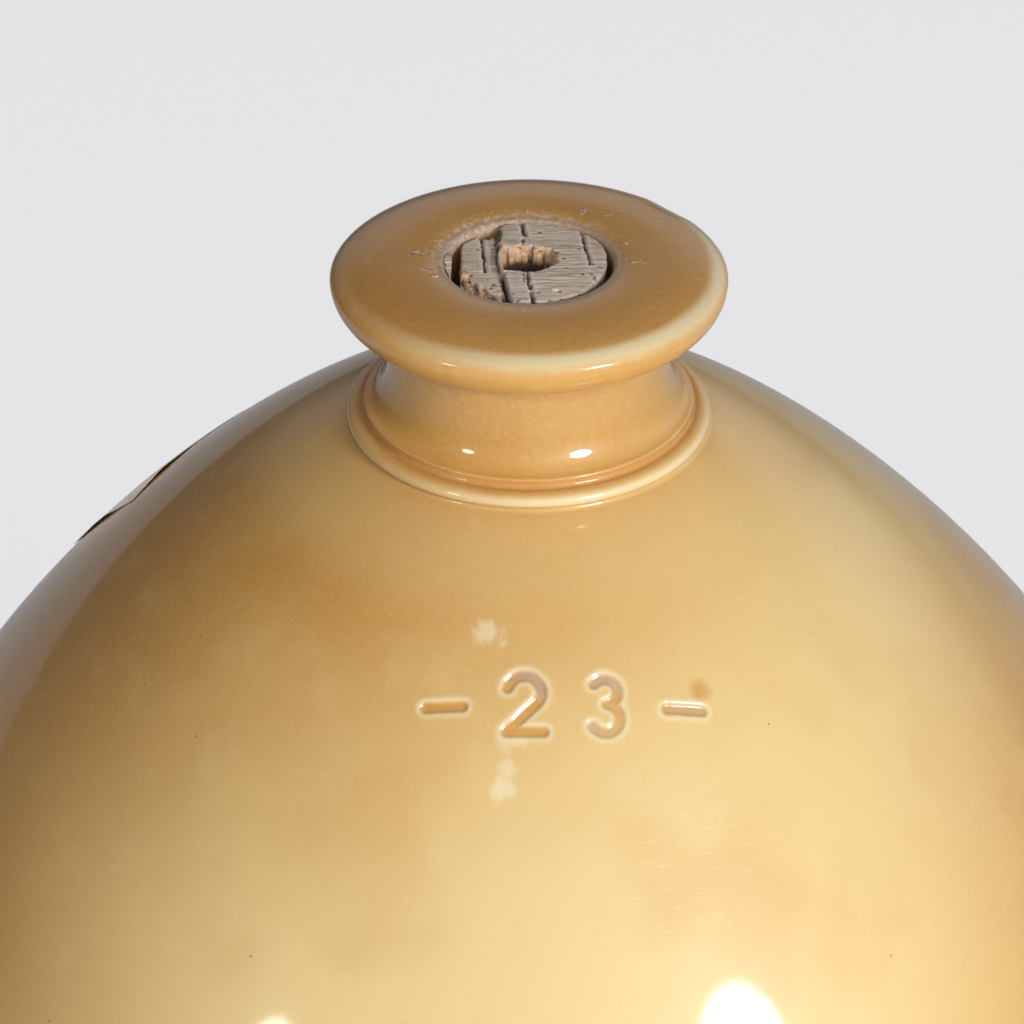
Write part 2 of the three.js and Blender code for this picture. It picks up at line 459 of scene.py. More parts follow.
knock = smooth(abs(np.degrees(angle) - KNOCK_AZIMUTH), 10.0, 2.0)
knock *= smooth(radius, 33.0, 38.5) * smooth(table[:, 2], HEIGHT - 8.0, HEIGHT - 3.0)
table[:, 2] -= KNOCK_DROP * knock
table[:, :2] *= (1.0 - KNOCK_SHARE * knock)[:, None]
place_points(jar, table)
print("rings up to", round(float(rings.max()), 3), "mm, knocked vertices", int((knock > 0.1).sum()))

# %% [markdown]
# ## The mark in the shoulder
#
# Potters pressed a jar's size into the soft clay with metal punches before it was glazed. The glaze
# then ran off the edges, which fire pale, and pooled in the strokes. Here the place holds a plain
# number between two bars. The faces under it are subdivided, put back on the true curve of the
# shoulder, and pressed in by their distance from the strokes.

# %% Jar: a fine patch for the mark
MARK = np.array((7.42, -71.63, 411.46))
MARK_RIGHT = np.array((0.9977, 0.0485, -0.0480))
MARK_UP = np.array((-0.0075, 0.7763, 0.6303))


def on_mark(table):
    """Millimetres to the right and up from the middle of the mark, in its own plane."""
    return (table - MARK) @ MARK_RIGHT, (table - MARK) @ MARK_UP


def true_radius(z):
    """The radius of the outside of the shoulder at a height."""
    return np.interp(z, OUTER[::-1, 1], OUTER[::-1, 0])


def under_mark(table, wide, tall):
    """Whether each point lies on the outside of the shoulder, near the mark."""
    right, up = on_mark(table)
    off = np.abs(np.hypot(table[:, 0], table[:, 1]) - true_radius(table[:, 2]))
    return (np.abs(right) < wide) & (np.abs(up) < tall) & (off < 2.0) & (table[:, 1] < 0)


only(jar)
bpy.ops.object.mode_set(mode="EDIT")
bpy.ops.mesh.select_mode(type="FACE")
bpy.ops.mesh.select_all(action="DESELECT")
bpy.ops.object.mode_set(mode="OBJECT")
centres = np.array([face.center for face in jar.data.polygons]) / MM
jar.data.polygons.foreach_set("select", under_mark(centres, 32.0, 10.5))
bpy.ops.object.mode_set(mode="EDIT")
bpy.ops.mesh.subdivide(number_cuts=7)
bpy.ops.object.mode_set(mode="OBJECT")

table = points(jar)
patch = under_mark(table, 34.0, 12.5)
radius = np.hypot(table[patch, 0], table[patch, 1])
table[patch, :2] *= (true_radius(table[patch, 2]) / radius)[:, None]
print("patch of", int(patch.sum()), "vertices,", len(jar.data.polygons), "faces in all")

# %% Jar: press the strokes in
STROKE = 1.05
STROKE_DEPTH = 0.5
STROKE_SOFT = 0.45
STROKE_RIM = 0.07
MARK_OUTWARD = 0.63
MARK_UPWARD = 0.776


def curl(x, y, radius, start, end, steps=14):
    """A round stroke."""
    turns = [math.radians(start + (end - start) * i / steps) for i in range(steps + 1)]
    return [(x + radius * math.cos(a), y + radius * math.sin(a)) for a in turns]


two = curl(0.0, 2.6, 3.3, 165, -35) + [(-3.5, -5.2), (3.6, -5.2)]
three = curl(0.0, 2.9, 2.5, 145, -80) + curl(0.0, -2.35, 2.9, 80, -145)
bar = [(-3.4, 0.0), (3.4, 0.0)]
strokes = [(bar, -23.4, 1.0), (two, -8.1, 0.9), (three, 7.4, 0.75), (bar, 23.0, 0.95)]

right, up = on_mark(table[patch])
shake = ripple(table[patch], (0.5, 0.5, 0.5)) * 0.12
pressed = np.zeros(len(right))
near = np.full(len(right), np.inf)
for path, shift, force in strokes:
    away = reach([(x + shift, y) for x, y in path], right, up) + shake
    pressed = np.maximum(pressed, force * smooth(away, STROKE + STROKE_SOFT, STROKE - STROKE_SOFT))
    near = np.minimum(near, away)
lean = 1.0 + 0.25 * ripple(table[patch], (0.09, 0.09, 0.09))
normal = np.column_stack([table[patch, 0], table[patch, 1], np.zeros(len(right))])
normal *= (MARK_OUTWARD / np.linalg.norm(normal, axis=1))[:, None]
normal[:, 2] = MARK_UPWARD
rim = STROKE_RIM * smooth(near, STROKE + 2.0, STROKE + 0.5) * (1.0 - pressed)
table[patch] += normal * (rim - STROKE_DEPTH * pressed * lean)[:, None]
place_points(jar, table)

floor_mask = np.zeros(len(table))
floor_mask[patch] = pressed * lean
edge_mask = np.zeros(len(table))
edge_mask[patch] = smooth(near, STROKE + 1.7, STROKE + 0.3) * (1.0 - smooth(pressed, 0.3, 0.9))
paint(jar, "mark_floor", floor_mask)
paint(jar, "mark_edge", edge_mask)
print("pressed", int((pressed > 0.5).sum()), "vertices")

# %% [markdown]
# ## The glaze
#
# Honey glaze is a thin layer of coloured glass over buff clay. It is pale where it runs thin, on the
# lip's edge, the foot of the neck and the bead of the collar, and deep amber where it gathers, in the
# groove and under the lip. The masks are rings round the axis, from the radius and the drop below the
# lip, so they fit the jar from every side. Clouds, runs, pinholes, kiln specks and dust break them
# up, and a few pale splashes lie round the mark. Some of the colour is painted light: a pale sheen on
# the lower body towards the lit middle and in a band below the collar, pale edges that fade on the
# shaded left, and painted shade on the top of the lip.

# %% Glaze: masks
glaze, wire, shader, place = material("honey_glaze")
axes = wire.node("SeparateXYZ", None, {0: place}).output.node
x, y, z = (Wire(wire.tree, out) for out in axes.outputs)
radius = (x * x + y * y) ** 0.5
drop = HEIGHT - z
flow = wire.node("CombineXYZ", None, {0: x / radius, 1: y / radius, 2: drop * 0.004})

cloud = place.noise(0.016, 3.0)
mottle = place.noise(0.085, 4.0, 0.6)
grain = place.noise(0.9, 3.0, 0.6)
tatter = place.times((1.0, 0.5, 0.5)).noise(0.4, 3.0, 0.6)
runs = flow.noise(9.0, 3.0)


def ring(at_radius, at_drop, width):
    """1 on a ring round the axis, fading to 0 at a width from it."""
    away = ((radius - at_radius) ** 2.0 + (drop - at_drop) ** 2.0) ** 0.5
    return (away + (mottle - 0.5) * width * 0.5).fade(width, width * 0.15)


def spot(point, size, ragged=0.6):
    """1 round a point, fading to 0 at a size from it, with a ragged outline."""
    away = place.away(point) + (tatter - 0.5) * size * ragged
    return away.fade(size, size * 0.2)


def specks(scale, size, share):
    """Small dots, one in some of the cells of a scale."""
    chance = wire.node("SeparateColor", None, {0: place.cells(scale, 1)})
    dots = place.cells(scale, 0).fade(size * scale, size * scale * 0.5)
    return dots * chance.fade(1 - share, 1.01 - share)


print("masks in", len(wire.tree.nodes), "nodes")

# %% Glaze: colour
HONEY = rgb(214, 162, 84)
AMBER = rgb(204, 142, 58)
STRAW = rgb(236, 207, 144)
PALE = rgb(242, 226, 184)
TOFFEE = rgb(186, 130, 62)
BROWN = rgb(160, 102, 42)
ORANGE = rgb(196, 126, 46)
OCHRE = rgb(192, 146, 72)
DARK = rgb(96, 62, 34)
DUST = rgb(206, 192, 170)
MAUVE = rgb(182, 146, 126)
PALE_SPLASHES = [
    ((-8.0, -60.2, 420.1), 4.0, 1.8, 0.7), ((-4.6, -84.3, 400.7), 3.4, 1.5, 0.8),
    ((-3.9, -81.4, 403.6), 2.4, 1.5, 0.6), ((-4.4, -77.6, 406.7), 2.2, 1.8, 0.45),
    ((-1.6, -77.2, 407.2), 2.2, 1.8, 0.45),
]

colour = cloud.fade(0.35, 0.65).mix(HONEY, AMBER)
colour = (runs.fade(0.50, 0.80) * 0.35).mix(colour, AMBER)
# Painted sheen: the lower body is paler towards the lit middle, fading out on the far left and far right.
painted_sheen = (drop + x * 0.35).fade(18.0, 88.0) * x.fade(-150.0, -45.0)
painted_sheen *= 1.0 - x.fade(60.0, 125.0) * 0.8
colour = (painted_sheen * 0.95).mix(colour, STRAW)
colour = (mottle.fade(0.50, 0.80) * 0.3).mix(colour, STRAW)
colour = (place.noise(0.03, 2.0).fade(0.48, 0.72) * 0.22).mix(colour, AMBER)
# Painted shade: the up-facing top of the lip is darker.
colour = (drop.fade(3.0, 0.8) * 0.55).mix(colour, TOFFEE)
colour = (ring(29.0, 22.0, 12.0) * 0.6).mix(colour, OCHRE)
colour = (ring(29.0, 14.0, 4.0) * 0.4).mix(colour, BROWN)
# Painted light: the pale bands on the lip's edge and the collar's bead are strong on the lit right and
# fade on the shaded left.
painted_light_side = 0.15 + x.fade(-38.0, 5.0) * 0.85
colour = (ring(38.2, 2.1, 2.9) * 0.8 * painted_light_side).mix(colour, PALE)
colour = (ring(34.3, 32.8, 1.9) * 0.75).mix(colour, ORANGE)
colour = (ring(37.2, 34.6, 1.8) * 0.75 * painted_light_side).mix(colour, PALE)
# Painted sheen: a soft pale band round the shoulder below the collar.
colour = (ring(46.0, 40.0, 20.0) * 0.35).mix(colour, STRAW)
for point, size, ragged, strength in PALE_SPLASHES:
    colour = (spot(point, size, ragged) * strength).mix(colour, PALE)
colour = (spot((33.2, -65.3, 410.4), 3.4) * 0.7).mix(colour, AMBER)

floor_mark = painted(wire, "mark_floor")
edge_mark = painted(wire, "mark_edge")
pool = place.noise(0.07, 1.0).fade(0.42, 0.58).mix(MAUVE, AMBER)
colour = (edge_mark * 0.6).mix(colour, PALE)
colour = (floor_mark * 0.75).mix(colour, pool)

scuffs = place.times((0.05, 0.9, 0.9)).noise(1.3, 2.0).fade(0.58, 0.70)
scuffs *= spot((32.0, -92.0, 392.0), 24.0)
colour = (scuffs * 0.3).mix(colour, PALE)
pits = specks(0.17, 0.3, 0.2)
flecks = specks(0.45, 0.22, 0.45)
peppered = specks(0.8, 0.2, 0.25)
colour = (grain.fade(0.35, 0.70) * 0.12).mix(colour, STRAW)
colour = (peppered * 0.25).mix(colour, BROWN)
colour = (pits * 0.75).mix(colour, DARK)
colour = (flecks * 0.45).mix(colour, PALE)

worn = radius.fade(19.4, 18.0) * drop.fade(6.0, 3.0)
colour = (worn * 0.75).mix(colour, rgb(170, 148, 132))
mouth = radius.fade(22.5, 18.2) * drop.fade(6.0, 3.5) * (0.6 - x * 0.02 + y * 0.015)
dust = mouth * place.noise(0.9, 5.0, 0.75).fade(0.44, 0.62)
colour = (dust * 0.8).mix(colour, DUST)
inner = radius.fade(17.3, 16.9) * drop.fade(1.6, 4.0)
colour = (inner * 0.7).mix(colour, BROWN)
foot = z.fade(9.0, 5.0)
colour = foot.mix(colour, rgb(198, 172, 136))
print("colour in", len(wire.tree.nodes), "nodes")

# %% Glaze: gloss and surface
height = grain * 0.012 + mottle * 0.10 - pits * 0.12 + dust * 0.05
bump = bumped(wire, height)
rough = 0.4 + mottle * 0.12 + dust * 0.3 + foot * 0.3
coat = (1.0 - dust * 0.9 - foot) * (1.0 - inner) * (1.0 - worn * 0.85)
connect(wire, shader, {"Base Color": colour, "Roughness": rough, "Coat Weight": coat, "Normal": bump})
shader.inputs["Specular IOR Level"].default_value = 0.5
shader.inputs["Coat Roughness"].default_value = 0.075
shader.inputs["Coat IOR"].default_value = 1.5
jar.data.materials.append(glaze)
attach(jar, "jar")
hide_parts("stoneware_jar")
print("glaze on", jar.name)

# %% [markdown]
# ## The cork bung
#
# A bung is cut round from cork bark, so it starts as a spun taper with a fine mesh on top. Then time
# breaks it. The left flank is gone, which pulls the outline in to a straight edge. The top has split
# along lines from front to back, the part on the left has sunk, and a corkscrew has torn a pit in the
# middle. Each of these is a change of height worked out from a few points of a line.

# %% Bung: the turned taper
BUNG_TOP = HEIGHT - 0.5
BUNG_LENGTH = 34.0
BUNG_CLEARANCE = 0.3
BUNG_EDGE = 0.5
FLANK = 13.8


def bung_radius(z):
    """The radius of the bung at a height, clear of the bore."""
    share = (HEIGHT - z) / BORE_LENGTH
    return MOUTH_RADIUS + (THROAT_RADIUS - MOUTH_RADIUS) * share - BUNG_CLEARANCE


rim_radius = bung_radius(BUNG_TOP)
flat_radius = rim_radius - BUNG_EDGE
profile = [(r, BUNG_TOP) for r in np.linspace(0.0, flat_radius, 84)]
profile += bow(flat_radius, BUNG_TOP - BUNG_EDGE, BUNG_EDGE, BUNG_EDGE, 72, 0, 3)
profile += [(bung_radius(z), z) for z in np.linspace(BUNG_TOP - 1.4, BUNG_TOP - BUNG_LENGTH, 24)]
profile += [(r, BUNG_TOP - BUNG_LENGTH) for r in (12.0, 6.0, 0.0)]
bung = spun("weathered_cork_bung", profile, 320)
print("bung", len(bung.data.vertices), "vertices")

# %% Bung: outline
table = points(bung)
turn = np.arctan2(table[:, 1], table[:, 0])
full = bung_radius(table[:, 2])
around = np.column_stack([np.cos(turn) * 5.0, np.sin(turn) * 5.0, table[:, 2] * 0.35])
bite = np.abs(0.12 + 0.2 * ripple(around, (1, 1, 1)) + 0.12 * ripple(around, (4, 4, 1)))
bite += 0.9 * smooth(np.abs(np.degrees(turn) + 14.0), 50.0, 8.0)
notch = smooth(np.abs(np.degrees(turn) - 122.0), 9.0, 5.0)
bite += 2.2 * notch * smooth(table[:, 2], BUNG_TOP - 9.0, BUNG_TOP - 2.0)
flank = FLANK + 0.3 * ripple(around, (2.0, 2.0, 1.0))
left = np.where(np.cos(turn) < -0.3, flank / np.maximum(-np.cos(turn), 0.3), np.inf)
outline = np.minimum(full - bite, left)
table[:, :2] *= np.minimum(outline / full, 1.0)[:, None]
x, y, level = table.T.copy()
flat = np.column_stack([x, y, np.zeros(len(x))])
wander = 0.25 * ripple(flat, (1.1, 1.1, 1)) + 0.16 * ripple(flat, (3.1, 3.1, 1))
chips = 0.5 * ripple(flat + 9.0, (0.8, 1.6, 1)) + 0.3 * ripple(flat + 9.0, (2.6, 2.6, 1))
print("outline from", round(float(outline.min()), 2), "to", round(float(outline.max()), 2), "mm")

# %% [markdown]
# Now the top. Four things are kept for each vertex: how far it sinks, how fresh the break is, how
# much shade is painted on it, and how far the light has bleached it. Growth lines come first, then
# the step at the ridge, whose broken face is wide at the back and narrows towards the front, and
# then the splits.

# %% Bung: growth lines, the step and the splits
RIDGE = [
    (-3.9, -17.0), (-4.5, -11.6), (-5.4, -5.9), (-6.3, -0.2), (-6.6, 3.3),
    (-6.4, 6.2), (-6.8, 8.5), (-6.7, 10.9), (-7.3, 13.9), (-7.2, 17.0),
]
FACE_WIDTH = [(-17.0, 0.3), (4.0, 0.4), (7.0, 0.7), (9.5, 1.1), (14.0, 1.6)]
SPLITS = [
    ([(-1.8, 17.0), (-1.35, 13.9), (-0.85, 10.9)], 0.30, 1.6),
    ([(-1.4, 9.4), (-1.3, 7.1)], 0.10, 0.5),
    ([(10.4, 12.2), (10.9, 10.3), (11.2, 5.6), (11.8, 2.7), (12.2, -1.6)], 0.17, 1.7),
    ([(-10.2, 14.3), (-9.8, 11.3), (-9.5, 7.8), (-9.1, 3.1), (-8.8, -2.7)], 0.20, 1.1),
    ([(-5.4, -4.8), (-4.8, -9.3), (-3.9, -15.9)], 0.36, 2.0),
    ([(-0.4, -5.2), (0.0, -9.3), (0.7, -14.4), (0.9, -17.0)], 0.26, 1.8),
    ([(-1.3, -5.0), (-0.9, -8.4)], 0.08, 0.4),
    ([(11.8, -4.5), (12.7, -5.9), (13.1, -7.6)], 0.10, 0.4),
]

ridge_x = np.interp(y, [p[1] for p in RIDGE], [p[0] for p in RIDGE]) + wander + 0.6 * chips
face = np.interp(y, [p[0] for p in FACE_WIDTH], [p[1] for p in FACE_WIDTH])
sink = 0.25 + 0.10 * ripple(flat, (0.10, 1.7, 1)) + 0.06 * ripple(flat, (0.25, 4.6, 1))
sink += 0.14 * ripple(flat, (0.12, 0.16, 1))
sink += 1.2 * smooth(ridge_x + face - x, 0.0, face)
on_face = smooth(ridge_x + face - x, -0.1, 0.3) * smooth(ridge_x - x, 0.35, -0.1)
sink += 0.7 * on_face * np.clip(0.8 + 2.0 * wander, 0.2, 1.3)
fresh = 0.6 * smooth(np.abs(ridge_x - x), 0.4, 0.1) * smooth(np.abs(y - 4.0), 7.0, 3.0)
# Painted shade on the broken face of the step, which faces away from the light.
painted_shade = 0.75 * on_face
bleached = np.zeros(len(x))
# Each split sinks, and its gap gets painted shade.
for path, half, depth in SPLITS:
    away = reach(path, x, y)
    gap = smooth(away + 0.8 * wander + 0.6 * chips, half + 0.2, half * 0.4)
    sink += depth * gap
    painted_shade = np.maximum(painted_shade, 0.95 * gap)
    bleached = np.maximum(bleached, smooth(np.abs(away - half - 0.75) + wander, 0.5, 0.1))
print("sunk by up to", round(float(sink.max()), 2), "mm")

# %% [markdown]
# The torn pit is steep at the back, where the fresh cork shows in lumps, and deep at the front,
# where it is darkened as painted shade. At the front left the edge has crumbled into short strands,
# with painted shade in the gaps between them.

# %% Bung: the pit and the crumbled edge
PIT = [
    (-6.0, 3.3), (-5.6, -3.1), (-3.7, -3.9), (-0.4, -4.8), (2.1, -3.9), (4.0, -2.5), (6.2, -0.5),
    (6.2, 0.4), (5.1, 4.4), (4.6, 5.6), (1.5, 6.2), (-2.1, 6.5), (-4.9, 6.2), (-6.0, 3.3),
]
GROOVES = [(0.4, 0.6, 1.0), (3.1, 0.3, 0.8), (-4.2, 0.25, 0.8)]
FRINGE = [(-14.6, -1.0), (-11.9, -5.0), (-10.3, -7.0), (-8.9, -8.4), (-7.5, -10.6), (-4.2, -11.6)]
LUMP = (-13.0, -3.3)
WHITE_FLECKS = [(5.1, -11.6, 0.9, 0.7), (-5.5, -13.0, 1.1, 0.9)]


def inside(path, x, y):
    """Whether each point lies inside a closed line."""
    odd = np.zeros(len(x), dtype=bool)
    for (ax, ay), (bx, by) in zip(path, path[1:]):
        if ay != by:
            odd ^= ((ay > y) != (by > y)) & (x < ax + (y - ay) * (bx - ax) / (by - ay))
    return odd


into = np.where(inside(PIT, x, y), 1.0, -1.0) * reach(PIT, x, y) + 0.8 * wander
into += 0.45 * ripple(flat, (0.75, 0.75, 1))
torn = smooth(into, -0.05, 0.9)
share = smooth(x, 6.4, 3.0)
pit = torn * (1.5 + 2.3 * share + 0.5 * ripple(flat, (1.3, 1.3, 1)))
pit += 6.0 * share * smooth(into, 0.8, 2.2)
# Painted shade: the deep front of the pit, and its grooves below.
shade = smooth(pit + 0.8 * chips, 2.7, 4.0)
for at, half, dark in GROOVES:
    groove = smooth(into, -0.2, 0.25) * smooth(y, 1.5, 3.5)
    groove *= smooth(np.abs(x - at - 0.5 * wander + 0.12 * (y - 5.0)), half + 0.1, half - 0.1)
    pit += 1.8 * groove
    shade = np.maximum(shade, dark * groove)
sink += pit
fresh = np.maximum(fresh, smooth(into, -0.3, 0.2) * (0.45 + 0.55 * share))
painted_shade = np.maximum(painted_shade, shade)

fringe_y = np.interp(x, [p[0] for p in FRINGE], [p[1] for p in FRINGE])
broken = np.where((x < -4.4) & (y < 1.0), fringe_y - y, -1.0) + 1.2 * wander
strands = ripple(np.column_stack([x * 1.5 + y * 0.5, y * 0.2, x * 0]), (1, 1, 1))
gaps = smooth(broken, 0.0, 0.8) * smooth(strands, -0.05, 0.3)
lump = smooth(np.hypot((x - LUMP[0]) / 1.3, (y - LUMP[1]) / 1.5) + 0.6 * wander, 1.0, 0.5)
sink += (0.45 * np.clip(broken, 0.0, 4.0) + 1.5 * gaps) * (1.0 - lump) - 0.3 * lump
fresh = np.maximum(fresh, np.maximum(0.7 * smooth(broken, -0.1, 0.4), lump))
# Painted shade in the gaps between the strands.
painted_shade = np.maximum(painted_shade, 0.85 * gaps * (1.0 - lump))
pale = 0.22 * bleached * (1.0 - smooth(into, -0.4, 0.1))
for at_x, at_y, wide, tall in WHITE_FLECKS:
    fleck = np.hypot((x - at_x) / wide, (y - at_y) / tall) + 0.9 * wander
    pale = np.maximum(pale, smooth(fleck, 1.0, 0.6))
sink -= 0.25 * pale
print("pit down to", round(float(pit.max()), 2), "mm")

# %% Bung: write the heights and the masks
rim = smooth(outline - np.hypot(x, y), 0.6, 0.0)
sink += rim * (0.05 + 0.5 * np.abs(wander)) + 0.3 * smooth(-y, 6.0, 16.0)
# Painted shade along the outer edge of the top.
painted_shade = np.maximum(painted_shade, 0.45 * rim)
near_top = smooth(level, BUNG_TOP - 7.0, BUNG_TOP - 0.6)
table[:, 2] = np.minimum(level - sink * near_top, HEIGHT - 0.05)
place_points(bung, table)
for name, values in (("fresh", fresh), ("painted_shade", painted_shade), ("pale", pale)):
    paint(bung, name, np.clip(values, 0.0, 1.0) * near_top)
paint(bung, "side", smooth(BUNG_TOP - level, 1.5, 5.0))
face_outwards(bung)
print("bung from", round(float(table[:, 2].min()), 2), "to", round(float(table[:, 2].max()), 2), "mm")

# %% [markdown]
# Old cork greys in the light. Its growth lines run from left to right, darker and lighter by turns,
# and only a fresh break shows the warm tan inside. The bung's side is browner, stained, and full of
# small dark pores.

# %% Cork: material
cork, wire, shader, place = material("weathered_cork")
GREY = rgb(220, 202, 184)
ASH = rgb(240, 226, 210)
SLATE = rgb(176, 156, 141)
UMBER = rgb(192, 167, 149)
TAN = rgb(224, 186, 146)
RUST = rgb(186, 142, 104)
SOOT = rgb(46, 34, 28)

grown = place.times((0.10, 1.5, 0.5)).noise(1.0, 4.0, 0.65)
fine = place.times((0.35, 4.5, 1.6)).noise(1.0, 3.0, 0.6)
crumb = place.noise(1.3, 4.0, 0.65)
band = place.times((0.03, 0.42, 0.1)).noise(1.0, 2.0)
colour = grown.fade(0.30, 0.60).mix(SLATE, GREY)
colour = (band.fade(0.45, 0.65) * 0.6).mix(colour, UMBER)
colour = (fine.fade(0.50, 0.66) * 0.75).mix(colour, ASH)
colour = (fine.fade(0.46, 0.32) * 0.7).mix(colour, SLATE)

fresh = painted(wire, "fresh")
side = painted(wire, "side")
warm = crumb.fade(0.35, 0.62).mix(RUST, TAN)
colour = (fresh * 0.92).mix(colour, warm)
stain = place.noise(0.12, 3.0).fade(0.4, 0.65).mix(rgb(150, 108, 70), rgb(116, 84, 58))
colour = side.mix(colour, stain)
pores = place.times((0.5, 0.5, 1.3)).cells(0.75, 0).fade(0.22, 0.10)
colour = (pores * 0.6).mix(colour, SOOT)
# Painted shade: the splits, the pit, the step's face, the gaps and the edge of the top darken towards
# soot.
painted_shade = painted(wire, "painted_shade")
colour = (painted_shade * 0.9).mix(colour, SOOT)
pale = painted(wire, "pale")
colour = pale.mix(colour, rgb(240, 232, 220))

height = grown * 0.10 + fine * 0.08 + crumb * 0.16 - pores * 0.18
bump = bumped(wire, height)
connect(wire, shader, {"Base Color": colour, "Normal": bump})
shader.inputs["Roughness"].default_value = 0.93
shader.inputs["Specular IOR Level"].default_value = 0.25
bung.data.materials.append(cork)
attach(bung, "bung")
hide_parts("cork_bung")
print("cork in", len(wire.tree.nodes), "nodes")

# %% [markdown]
# ## The sliver in the bore
#
# When the flank broke off, a thin flake stayed on the wall of the bore. It starts as a cube that is
# subdivided in Edit Mode. Its back then follows the round wall, its front is a ragged plane that
# leans, and it thins to nothing at both ends.

# %% Sliver
SLIVER_TOP = HEIGHT - 0.6
SLIVER_HEIGHT = 10.0
SLIVER_HALF = 5.7
SLIVER_FACE = 15.5

bpy.ops.object.select_all(action="DESELECT")
bpy.ops.mesh.primitive_cube_add(size=2 * MM)
sliver = bpy.context.object
sliver.name = "cork_flake_in_bore"
bpy.ops.object.mode_set(mode="EDIT")
bpy.ops.mesh.subdivide(number_cuts=47)
bpy.ops.object.mode_set(mode="OBJECT")
bpy.ops.object.shade_smooth()

table = points(sliver)
depth, along, tall = table[:, 0], table[:, 1], table[:, 2]
y = along * SLIVER_HALF
cells = np.column_stack([np.zeros(len(y)), y, tall * 6.0])
rough = 0.18 * ripple(cells, (1, 0.9, 0.5)) + 0.08 * ripple(cells, (1, 3.0, 1.5))
top = SLIVER_TOP - 0.8 * np.abs(ripple(np.column_stack([y, y * 0, y * 0]), (0.9, 1, 1)))
top = top - 1.6 * smooth(np.abs(y + 1.0), 1.3, 0.1) - 1.2 * along**2
bottom = SLIVER_TOP - SLIVER_HEIGHT + 1.5 * along**2
z = bottom + (top - bottom) * (tall + 1.0) / 2.0
eased = np.clip((z - HEIGHT + 1.8) / MOUTH_ROUND, 0.0, 0.95)
wall = MOUTH_RADIUS + (THROAT_RADIUS - MOUTH_RADIUS) * (HEIGHT - z) / BORE_LENGTH - 0.2
wall += MOUTH_ROUND * (1.0 - np.sqrt(1.0 - eased**2))
back_x = -np.sqrt(np.maximum(wall**2 - y**2, 0.0))
face_x = -(SLIVER_FACE + 0.09 * (SLIVER_TOP - z)) + rough
face_x = np.maximum(np.minimum(face_x, -SLIVER_FACE + 0.2), back_x + 0.12)
x = face_x + (back_x - face_x) * (1.0 - depth) / 2.0
place_points(sliver, np.column_stack([x, y, z]))
paint(sliver, "fresh", 0.2 + 0.3 * smooth(depth, 0.2, 1.0) * (tall < 0.9))
# Painted shade: the flake lies in the bore, darker all over and more where its face is rough.
paint(sliver, "painted_shade", 0.2 + 0.4 * smooth(rough, 0.0, 0.15))
for name in ("side", "pale"):
    paint(sliver, name, np.zeros(len(x)))
face_outwards(sliver)
sliver.data.materials.append(cork)
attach(sliver, "jar")
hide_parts("cork_sliver")
print("sliver", len(sliver.data.vertices), "vertices")

# %% [markdown]
# ## The paper label
#
# A plain paper label is stuck to the back-left of the shoulder, not quite level. A grid in its own
# plane is dropped onto the glaze along the label's normal. Its edges curl away a little where the
# glue has dried, and a shallow bubble lifts the paper behind one corner. Solidify gives it the
# thickness of paper. It carries no print.

# %% Label: shape
LABEL_SIZE = (36.0, 50.0)
LABEL_TILT = math.radians(-11.0)
LABEL_AZIMUTH = math.radians(145.0)
LABEL_DISTANCE = 75.5
LABEL_GAP = 0.03
LABEL_THICKNESS = 0.12
DROP_FROM = 30.0

line, normals = shoulder(400)
steps = np.hypot(*np.diff(line, axis=0).T)
where = int(np.searchsorted(np.cumsum(steps), LABEL_DISTANCE))
out = np.array((math.cos(LABEL_AZIMUTH), math.sin(LABEL_AZIMUTH), 0.0))
middle = line[where][0] * out + np.array((0.0, 0.0, line[where][1]))
normal = normals[where][0] * out + np.array((0.0, 0.0, normals[where][1]))
round_way = np.array((-out[1], out[0], 0.0))
down_way = np.cross(round_way, normal)

bpy.ops.object.select_all(action="DESELECT")
bpy.ops.mesh.primitive_grid_add(x_subdivisions=72, y_subdivisions=52, size=2 * MM)
label = bpy.context.object
label.name = "paper_shoulder_label"
table = points(label)
half_tall, half_wide = LABEL_SIZE[0] / 2, LABEL_SIZE[1] / 2
a = table[:, 0] * half_tall
b = table[:, 1] * half_wide
down = a * math.cos(LABEL_TILT) - b * math.sin(LABEL_TILT)
round_ = a * math.sin(LABEL_TILT) + b * math.cos(LABEL_TILT)
waves = ripple(np.column_stack([a, b, a * 0]), (0.16, 0.16, 1))
top_edge = smooth(a + half_tall, 2.5, 0.0) * smooth(b, 2.0, 10.0)
inward = a + half_tall + half_wide - b
bubble = smooth(inward, 0.0, 12.0) * smooth(inward, 36.0, 14.0) * smooth(b, 4.0, 14.0)
front_edge = smooth(half_wide - b, 3.0, 0.0) * smooth(a, -8.0, -3.0)
curl_up = 0.02 * (1.0 + waves) + 0.12 * top_edge + 0.2 * front_edge + (0.3 + 0.2 * waves) * bubble
start = middle + down[:, None] * down_way + round_[:, None] * round_way
laid = []
for point, up in zip(start, curl_up):
    above = Vector((point + normal * DROP_FROM) * MM)
    _, ground, facing, _ = jar.ray_cast(above, Vector(-normal))
    laid.append(np.array(ground + facing * (LABEL_GAP + up) * MM) / MM)
place_points(label, np.array(laid))
only(label)
solid = label.modifiers.new("paper", "SOLIDIFY")
solid.thickness = LABEL_THICKNESS * MM
solid.offset = 1.0
bpy.ops.object.modifier_apply(modifier=solid.name)
bpy.ops.object.shade_smooth()
print("label", len(label.data.vertices), "vertices")

# %% [markdown]
# Only a narrow strip of the label shows from the front, at the edge of the jar and away from the soft
# boxes. A spot lamp with a cone as narrow as the label brightens it, so that it reads as white paper.

